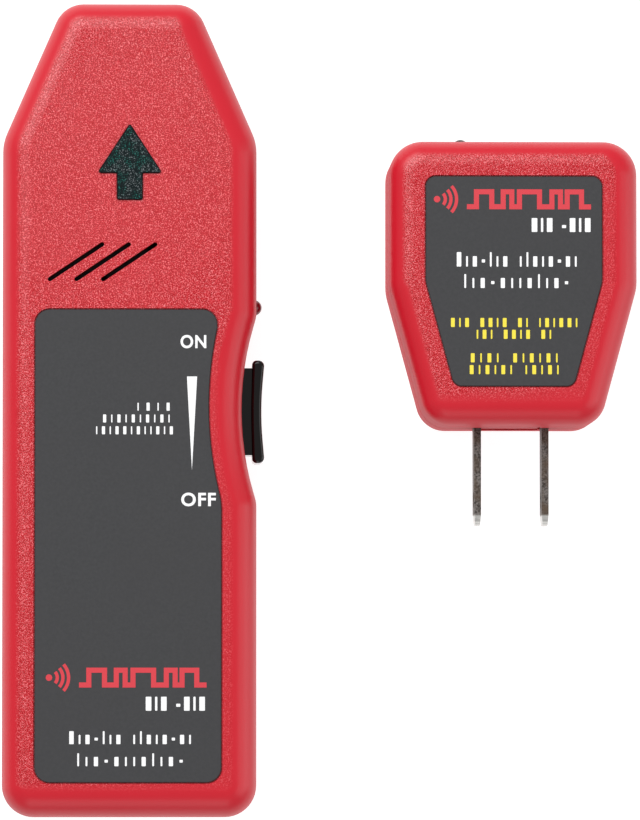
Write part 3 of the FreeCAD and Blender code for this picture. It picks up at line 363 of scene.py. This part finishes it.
# marks that stand for print: width in mm, then top and foot as parts of the line's height
MARKS = {
    "T": (0.34, 0.0, 1.0),
    "s": (0.34, 0.28, 1.0),
    "w": (0.78, 0.28, 1.0),
    "W": (0.84, 0.0, 1.0),
    "d": (0.62, 0.50, 0.72),
}
# a mark's corners: radius in mm and steps round a quarter turn
CORNER = 0.12
CORNER_STEPS = 3
# the gap between two words as a part of the gap between two marks
WORD_GAP = 1.6
# a mitred corner of a traced line reaches no further out than its half width over this
MITRE_LIMIT = 0.3
# letter vertices closer than this, in font units, are one
WELD = 1e-5


class Print:
    """One colour of print on one label, gathered into a single thin raised mesh.

    Places on a label are in mm: right of its middle, and down from its head.
    """

    def __init__(self, name, label, body, material, slot_name):
        low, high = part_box(label)
        self.top = high[2]
        self.middle = (low[0] + high[0]) / 2
        self.head = high[1]
        self.name = name
        self.body = body
        self.material = material
        self.slot_name = slot_name
        self.mesh = bmesh.new()

    def place(self, x, y):
        """A place on the label, in the frame."""
        return self.middle + x * MM, self.head - y * MM

    def solid(self, spots, faces):
        """Thin solid over flat faces, each given as a list of indices into spots."""
        lower = [self.mesh.verts.new((x, y, self.top - INK_SINK)) for x, y in spots]
        upper = [self.mesh.verts.new((x, y, self.top + INK_RISE)) for x, y in spots]
        sides = {pair for face in faces for pair in zip(face, face[1:] + face[:1])}
        for face in faces:
            self.mesh.faces.new([upper[index] for index in face])
            self.mesh.faces.new([lower[index] for index in reversed(face)])
            for first, after in zip(face, face[1:] + face[:1]):
                if (after, first) not in sides:
                    self.mesh.faces.new((lower[first], lower[after], upper[after],
                                         upper[first]))

    def outline(self, points):
        """Thin solid within a closed outline."""
        self.solid([self.place(x, y) for x, y in points], [list(range(len(points)))])

    def bar(self, left, right, high, low):
        """Block with rounded corners."""
        radius = min(CORNER, (right - left) / 2, (low - high) / 2)
        points = []
        for centre_x, centre_y, start in ((left + radius, low - radius, 180),
                                          (right - radius, low - radius, 270),
                                          (right - radius, high + radius, 0),
                                          (left + radius, high + radius, 90)):
            for step in range(CORNER_STEPS + 1):
                angle = math.radians(start + 90 * step / CORNER_STEPS)
                points.append((centre_x + radius * math.cos(angle),
                               centre_y - radius * math.sin(angle)))
        self.outline(points)

    def trace(self, points, width):
        """Thick line with mitred corners through points."""
        count = len(points)
        left = []
        right = []
        for index in range(count):
            here = Vector(points[index])
            back = (here - Vector(points[index - 1])).normalized() if index else None
            ahead = None
            if index < count - 1:
                ahead = (Vector(points[index + 1]) - here).normalized()
            back = back or ahead
            ahead = ahead or back
            normal = Vector((-(back + ahead).y, (back + ahead).x)).normalized()
            plain = Vector((-ahead.y, ahead.x))
            reach = width / 2 / max(normal.dot(plain), MITRE_LIMIT)
            left.append(here + normal * reach)
            right.append(here - normal * reach)
        for index in range(count - 1):
            self.outline([tuple(right[index + 1]), tuple(right[index]), tuple(left[index]),
                          tuple(left[index + 1])])

    def words(self, left, right, high, low, pattern, weight=1.0):
        """Marks that stand for a line of text, spread evenly between two sides.

        Weight is how much wider than in MARKS each mark is.
        """
        widths = [MARKS[mark][0] * weight for mark in pattern if mark != " "]
        gaps = len(widths) - 1 + WORD_GAP * pattern.count(" ")
        gap = (right - left - sum(widths)) / gaps
        tall = low - high
        x = left
        for mark in pattern:
            if mark == " ":
                x += WORD_GAP * gap
                continue
            width, top, foot = MARKS[mark]
            self.bar(x, x + width * weight, high + top * tall, high + foot * tall)
            x += width * weight + gap

    def text(self, body, left, right, high, low):
        """Plain switch legend in the built-in type, made bolder and fitted to a box."""
        curve = bpy.data.curves.new(f"{self.name}_{body}", "FONT")
        curve.body = body
        curve.offset = 0.026
        curve.space_character = 1.12
        curve.resolution_u = 6
        holder = add(f"{self.name}_{body}", curve)
        bpy.context.view_layer.update()
        graph = bpy.context.evaluated_depsgraph_get()
        shape = bpy.data.meshes.new_from_object(holder.evaluated_get(graph))
        bpy.data.objects.remove(holder)
        xs = [v.co.x for v in shape.vertices]
        ys = [v.co.y for v in shape.vertices]
        wide = max(xs) - min(xs)
        tall = max(ys) - min(ys)
        letters = bmesh.new()
        letters.from_mesh(shape)
        bpy.data.meshes.remove(shape)
        bmesh.ops.remove_doubles(letters, verts=letters.verts, dist=WELD)
        letters.verts.index_update()
        spots = [self.place(left + (vert.co.x - min(xs)) / wide * (right - left),
                            low - (vert.co.y - min(ys)) / tall * (low - high))
                 for vert in letters.verts]
        faces = [[vert.index for vert in face.verts] for face in letters.faces]
        letters.free()
        self.solid(spots, faces)

    def finish(self):
        """The gathered mesh as one piece that rides with the label's body."""
        bmesh.ops.recalc_face_normals(self.mesh, faces=self.mesh.faces)
        mesh = bpy.data.meshes.new(self.name)
        self.mesh.to_mesh(mesh)
        self.mesh.free()
        mesh.materials.append(self.material)
        piece = add(self.name, mesh)
        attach(piece, self.body)


# the signal mark, in mm: its dot's radius, its arcs' radii and width, where the pulse train
# starts right of the mark's left side, and its line's width
DOT = 0.62
ARCS = (1.55, 2.6, 3.65)
ARC_WIDTH = 0.62
PULSES_START = 6.2
PULSE_WIDTH = 0.95
# lengths of the train's lows and highs in units. They add up to 12, and a low of one more unit
# ends the train.
PULSES = ((1.0, 1.6), (1.2, 0.9), (0.8, 2.1), (1.3, 0.9), (0.7, 1.5))
PULSE_UNITS = 13.0
# room over and under the train as a part of the mark's height
PULSE_ROOM = 0.22


def signal_mark(ink_print, left, right, high, low):
    """Generic mark: arcs that spread from a dot, then a pulse train."""
    tall = low - high
    middle = (high + low) / 2
    centre = left + DOT

    def ring(radius, angles):
        return [(centre + radius * math.cos(math.radians(angle)),
                 middle - radius * math.sin(math.radians(angle))) for angle in angles]

    ink_print.outline(ring(DOT, range(0, 360, 30)))
    for radius in ARCS:
        ink_print.trace(ring(radius, range(-42, 43, 7)), ARC_WIDTH)
    x = left + PULSES_START
    unit = (right - x) / PULSE_UNITS
    up = high + PULSE_ROOM * tall
    down = low - PULSE_ROOM * tall
    train = [(x, down)]
    for wide_low, wide_high in PULSES:
        x += wide_low * unit
        train += [(x, down), (x, up)]
        x += wide_high * unit
        train += [(x, up), (x, down)]
    train.append((right, down))
    ink_print.trace(train, PULSE_WIDTH)


WHITE_INK = ink("ink_white", (0.900, 0.900, 0.910))
RED_INK = ink("ink_red", (0.640, 0.035, 0.052))
YELLOW_INK = ink("ink_yellow", (0.860, 0.720, 0.050))

# mark patterns of the lines that both labels have
LINE_LONG = "WswdTsw sTwswdws"
LINE_SHORT = "TswdwsswTswd"
CODE = "WTW dWTW"
# how wide the other lines' marks are, as a part of the widths in MARKS
CODE_WEIGHT = 1.25
NOTE_WEIGHT = 0.7
YELLOW_WEIGHT = 0.85


def receiver_print():
    white = Print("receiver_print_white", "receiver_label", "receiver", WHITE_INK, "label_grey")
    white.text("ON", 9.7, 14.5, 4.75, 7.25)
    white.text("OFF", 9.85, 16.3, 34.15, 36.7)
    white.outline([(10.9, 12.5), (11.85, 29.9), (12.8, 12.5)])
    white.words(1.7, 7.7, 17.4, 18.9, "TWTW", NOTE_WEIGHT)
    white.words(-4.7, 7.7, 19.6, 21.1, "WTWTWTWTWT", NOTE_WEIGHT)
    white.words(-6.0, 8.3, 21.8, 23.3, "TWTWWTWTTWTW", NOTE_WEIGHT)
    white.words(3.3, 14.3, 72.1, 74.7, CODE, CODE_WEIGHT)
    white.words(-10.9, 11.7, 78.5, 80.9, LINE_LONG)
    white.words(-9.4, 10.2, 82.6, 85.0, LINE_SHORT)
    white.finish()
    red = Print("receiver_print_red", "receiver_label", "receiver", RED_INK, "red_abs")
    signal_mark(red, -15.3, 14.6, 66.1, 71.0)
    red.finish()


def transmitter_print():
    white = Print("transmitter_print_white", "transmitter_label", "transmitter", WHITE_INK,
                  "label_grey")
    white.words(3.3, 14.3, 7.8, 10.4, CODE, CODE_WEIGHT)
    white.words(-10.7, 11.7, 14.2, 16.9, LINE_LONG)
    white.words(-9.3, 10.1, 18.3, 20.9, LINE_SHORT)
    white.finish()
    red = Print("transmitter_print_red", "transmitter_label", "transmitter", RED_INK, "red_abs")
    signal_mark(red, -15.0, 14.4, 1.8, 6.8)
    red.finish()
    yellow = Print("transmitter_print_yellow", "transmitter_label", "transmitter", YELLOW_INK,
                   "label_grey")
    yellow.words(-11.8, 11.8, 26.5, 28.2, "WTW WWTW WT TWTWWT", YELLOW_WEIGHT)
    yellow.words(-7.0, 6.9, 28.7, 30.4, "TWT WWTW WT", YELLOW_WEIGHT)
    yellow.words(-8.1, 8.1, 33.1, 34.8, "WTWT WTWTWT", YELLOW_WEIGHT)
    yellow.words(-8.3, 8.3, 35.3, 37.0, "WTWTWT TWTWT", YELLOW_WEIGHT)
    yellow.finish()


receiver_print()
transmitter_print()


# ---------------------------------------------------------------- floor, light and camera

# half the floor's side, and how far under the devices' backs it lies
FLOOR_REACH = 3.0
FLOOR_DROP = 0.05 * MM
WORLD_STRENGTH = 0.42
# name, place, side and power of each square lamp. All face the middle of the frame.
LAMPS = (
    ("key", (-0.38, 0.62, 0.85), 0.95, 12.8),
    ("fill", (0.85, -0.20, 0.62), 0.75, 2.3),
    ("edge", (1.05, -0.05, 0.20), 0.45, 1.0),
    ("front", (-0.10, -0.95, 0.60), 0.60, 1.4),
)
# the level that the camera is aimed at, how far above it the camera stands, and how tall a
# strip fills the picture there
LOOK_LEVEL = 22 * MM
CAMERA_ABOVE = 1.3
VIEW_HEIGHT = 153.34 * MM
SENSOR = 36


def ground():
    """Pale paper that glows a little, so that hardly any red light shows on it."""
    g = Graph("floor_paper")
    g.set(Base_Color=g.mix(g.noise(6), rgb(0.27, 0.27, 0.27), rgb(0.29, 0.29, 0.29)),
          Roughness=0.9, Specular_IOR_Level=0.1, Emission_Color=rgb(1, 1, 1),
          Emission_Strength=0.90)
    mesh = bpy.data.meshes.new("floor")
    corners = ((-1, -1), (1, -1), (1, 1), (-1, 1))
    mesh.from_pydata([(x * FLOOR_REACH, y * FLOOR_REACH, -FLOOR_DROP) for x, y in corners], [],
                     [(0, 1, 2, 3)])
    mesh.materials.append(g.material)
    floor = add("floor", mesh)


def lights():
    world = bpy.data.worlds.new("studio")
    bpy.context.scene.world = world
    world.use_nodes = True
    background = world.node_tree.nodes["Background"]
    background.inputs["Color"].default_value = rgb(1, 1, 1)
    background.inputs["Strength"].default_value = WORLD_STRENGTH
    for name, spot, size, power in LAMPS:
        lamp = bpy.data.lights.new(name, "AREA")
        lamp.shape = "SQUARE"
        lamp.size = size
        lamp.energy = power
        holder = add(name, lamp)
        holder.location = spot
        holder.rotation_euler = (-Vector(spot)).to_track_quat("-Z", "Y").to_euler()


def camera():
    """Long lens above the pair, a little towards the receiver, squared to the frame."""
    data = bpy.data.cameras.new("view")
    holder = add("view", data)
    spot = Vector((-0.035, -0.060, CAMERA_ABOVE + LOOK_LEVEL))
    aim = Vector((0.0, 0.0, LOOK_LEVEL))
    away = (spot - aim).length
    back = (spot - aim).normalized()
    right = Vector((0, 1, 0)).cross(back).normalized()
    turned = Matrix((right, back.cross(right), back)).transposed()
    holder.matrix_world = Matrix.Translation(spot) @ turned.to_4x4()
    data.sensor_width = SENSOR
    data.lens = SENSOR * away / VIEW_HEIGHT
    data.clip_end = 100
    bpy.context.scene.camera = holder


ground()
lights()
camera()
bpy.context.scene.view_settings.view_transform = "Standard"
